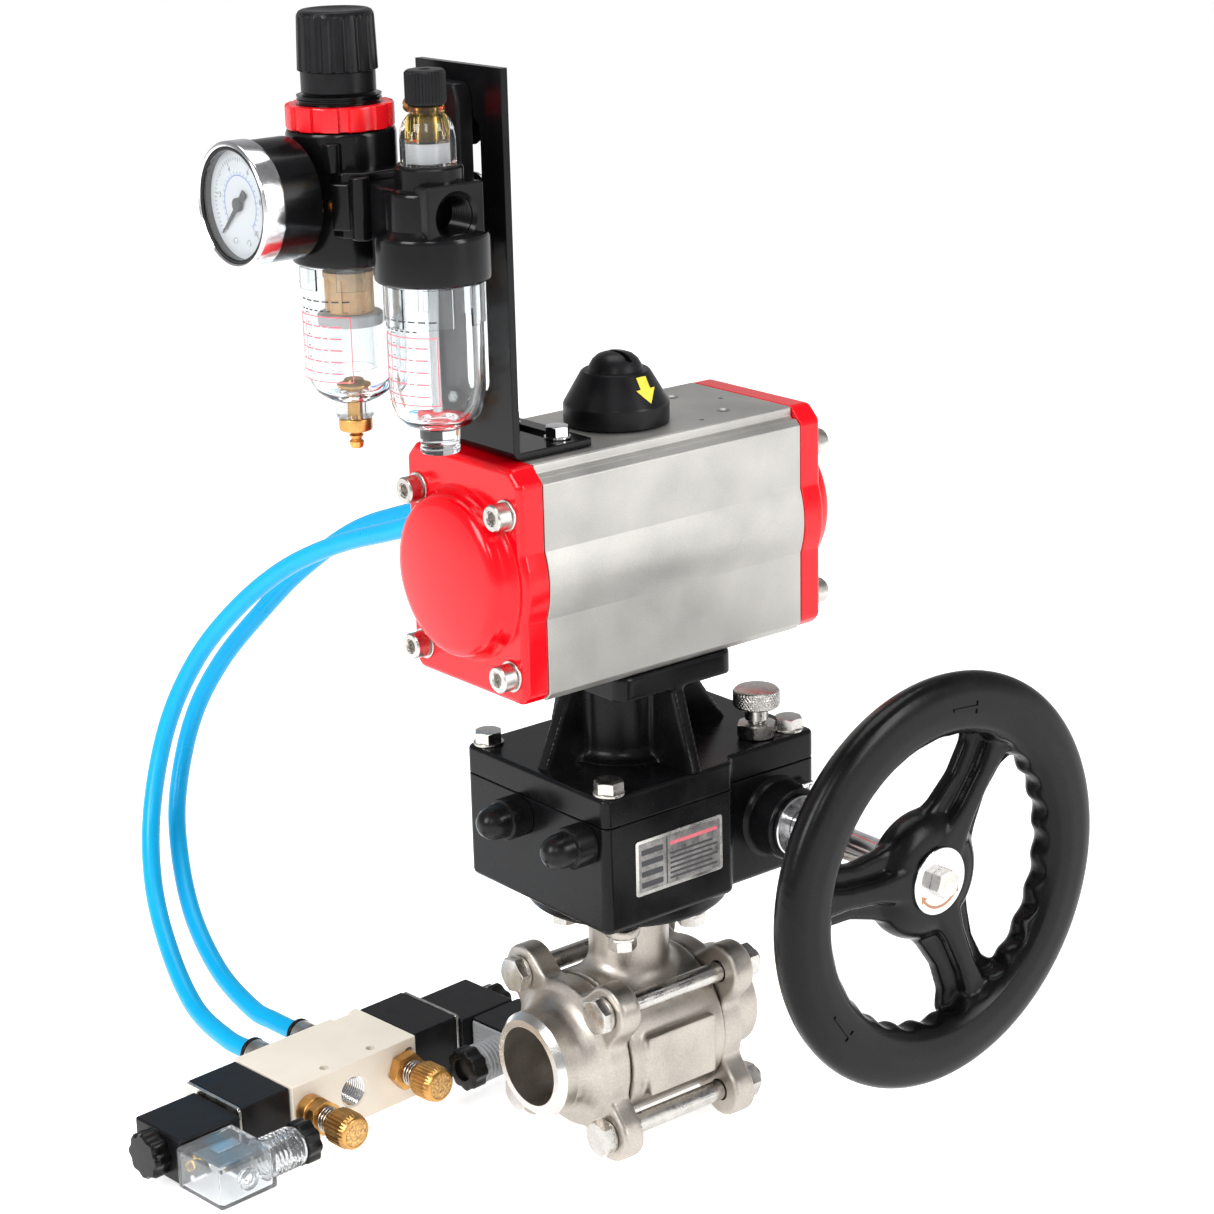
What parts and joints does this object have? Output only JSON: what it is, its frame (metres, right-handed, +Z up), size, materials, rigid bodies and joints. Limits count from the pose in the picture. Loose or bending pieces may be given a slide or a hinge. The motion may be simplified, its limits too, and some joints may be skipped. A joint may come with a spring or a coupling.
{
  "type": "pneumatic actuated valve",
  "caption": "Eared three-piece ball valve with weld ends, worm gearbox with handwheel, rack-and-pinion air actuator, air preparation unit on a bracket and a solenoid valve on air tubes.",
  "frame": {"origin": "centre of the footprint on the floor, without the air tubes", "axes": "+Z up along the valve's stem, +Y along the pipe and the actuator, +X towards the handwheel"},
  "size_m": [0.3894, 0.3086, 0.445],
  "materials": {
    "stainless_cast": "blasted casting",
    "stainless_bolt": "bright",
    "zinc": "bright",
    "black_paint": "satin",
    "black_plastic": "satin",
    "rubber_black": "satin",
    "gloss_red": "gloss",
    "red_plastic": "gloss",
    "anodised": "bead blasted, anodised",
    "cream": "satin",
    "brass": "bright",
    "clear": "clear moulding",
    "tan_filter": "sintered",
    "blue_tube": "satin",
    "ptfe": "satin"
  },
  "bodies": {
    "base": {"valve_body": "stainless_cast", "front_end_cap": "stainless_cast", "rear_end_cap": "stainless_cast", "tie_bolt_1": "stainless_bolt", "tie_bolt_2": "stainless_bolt", "tie_bolt_3": "stainless_bolt", "tie_bolt_4": "stainless_bolt", "front_seat": "ptfe", "rear_seat": "ptfe", "gearbox_housing": "black_paint", "gearbox_cover": "black_paint", "stop_cap_1": "rubber_black", "stop_cap_2": "rubber_black", "knob_nut": "stainless_bolt", "actuator_body": "anodised", "front_cap": "gloss_red", "rear_cap": "gloss_red", "mounting_bracket": "black_paint", "frl_clamp": "black_plastic", "regulator_body": "black_paint", "panel_nut": "red_plastic", "gauge_case": "black_paint", "filter_bowl": "clear", "filter_element": "tan_filter", "lubricator_body": "black_paint", "lubricator_bowl": "clear", "lubricator_dome": "clear", "solenoid_block": "cream", "front_pilot": "black_plastic", "rear_pilot": "black_plastic", "front_coil": "black_plastic", "rear_coil": "black_plastic", "front_connector": "clear", "rear_connector": "black_plastic", "front_valve_fitting": "stainless_bolt", "rear_valve_fitting": "stainless_bolt", "front_actuator_fitting": "stainless_bolt", "rear_actuator_fitting": "stainless_bolt", "front_air_tube": "blue_tube", "rear_air_tube": "blue_tube"},
    "drive": {"worm_wheel": "stainless_bolt", "valve_stem": "stainless_bolt", "valve_ball": "zinc", "pinion_shaft": "stainless_bolt", "position_indicator": "black_plastic"},
    "front_piston": {"front_piston": "anodised"},
    "rear_piston": {"rear_piston": "anodised"},
    "sleeve": {"eccentric_sleeve": "zinc"},
    "handwheel": {"worm_shaft": "zinc", "handwheel": "black_paint", "hub_bolt": "stainless_bolt"},
    "lock_knob": {"lock_knob": "stainless_bolt"},
    "regulator_knob": {"regulator_knob": "black_plastic"},
    "lubricator_knob": {"lubricator_knob": "black_plastic"},
    "bowl_drain": {"bowl_drain": "brass"},
    "gauge_needle": {"gauge_needle": "black_plastic"},
    "front_silencer_head": {"front_silencer_head": "brass"},
    "rear_silencer_head": {"rear_silencer_head": "brass"},
    "spool": {"solenoid_spool": "anodised"}
  },
  "joints": [
    {"name": "valve_turn", "type": "hinge", "parent": "base", "child": "drive", "pos_m": [-0.00589, 0.03014, 0.15], "axis": [0, 0, -1], "range_deg": [0, 90]},
    {"name": "front_piston_slide", "type": "slide", "parent": "base", "child": "front_piston", "axis": [0, 1, 0], "range_m": [0, 0.0142]},
    {"name": "rear_piston_slide", "type": "slide", "parent": "base", "child": "rear_piston", "axis": [0, -1, 0], "range_m": [0, 0.0142]},
    {"name": "declutch_turn", "type": "hinge", "parent": "base", "child": "sleeve", "pos_m": [0.04511, 0.07384, 0.1275], "axis": [1, 0, 0], "range_deg": [0, 180]},
    {"name": "handwheel_spin", "type": "hinge", "parent": "sleeve", "child": "handwheel", "pos_m": [0.04511, 0.07464, 0.1275], "axis": [1, 0, 0], "continuous": true},
    {"name": "lock_knob_pull", "type": "slide", "parent": "base", "child": "lock_knob", "axis": [0, 0, 1], "range_m": [0, 0.006], "stiffness_N_per_m": 400, "springref_m": -0.01},
    {"name": "regulator_turn", "type": "hinge", "parent": "base", "child": "regulator_knob", "pos_m": [-0.03889, -0.06486, 0.4164], "axis": [0, 0, 1], "range_deg": [-720, 720]},
    {"name": "lubricator_turn", "type": "hinge", "parent": "base", "child": "lubricator_knob", "pos_m": [0.01311, -0.06486, 0.416], "axis": [0, 0, 1], "range_deg": [0, 720]},
    {"name": "drain_push", "type": "slide", "parent": "base", "child": "bowl_drain", "axis": [0, 0, 1], "range_m": [0, 0.003], "stiffness_N_per_m": 300, "springref_m": -0.006},
    {"name": "needle_turn", "type": "hinge", "parent": "base", "child": "gauge_needle", "pos_m": [-0.03889, -0.10836, 0.382], "axis": [0, 1, 0], "range_deg": [0, 270], "stiffness_Nm_per_rad": 0.002, "springref_deg": -11.46},
    {"name": "front_silencer_turn", "type": "hinge", "parent": "base", "child": "front_silencer_head", "pos_m": [-0.05319, -0.08183, 0.015], "axis": [0.9962, 0.0872, 0], "range_deg": [0, 1080]},
    {"name": "rear_silencer_turn", "type": "hinge", "parent": "base", "child": "rear_silencer_head", "pos_m": [-0.06344, -0.03354, 0.015], "axis": [0.9962, 0.0872, 0], "range_deg": [0, 1080]},
    {"name": "spool_shift", "type": "slide", "parent": "base", "child": "spool", "axis": [-0.0872, 0.9962, 0], "range_m": [0, 0.005]}
  ],
  "couplings": [
    {"joint": "front_piston_slide", "follows": "valve_turn", "m_per_rad": 0.009},
    {"joint": "rear_piston_slide", "follows": "valve_turn", "m_per_rad": 0.009}
  ]
}
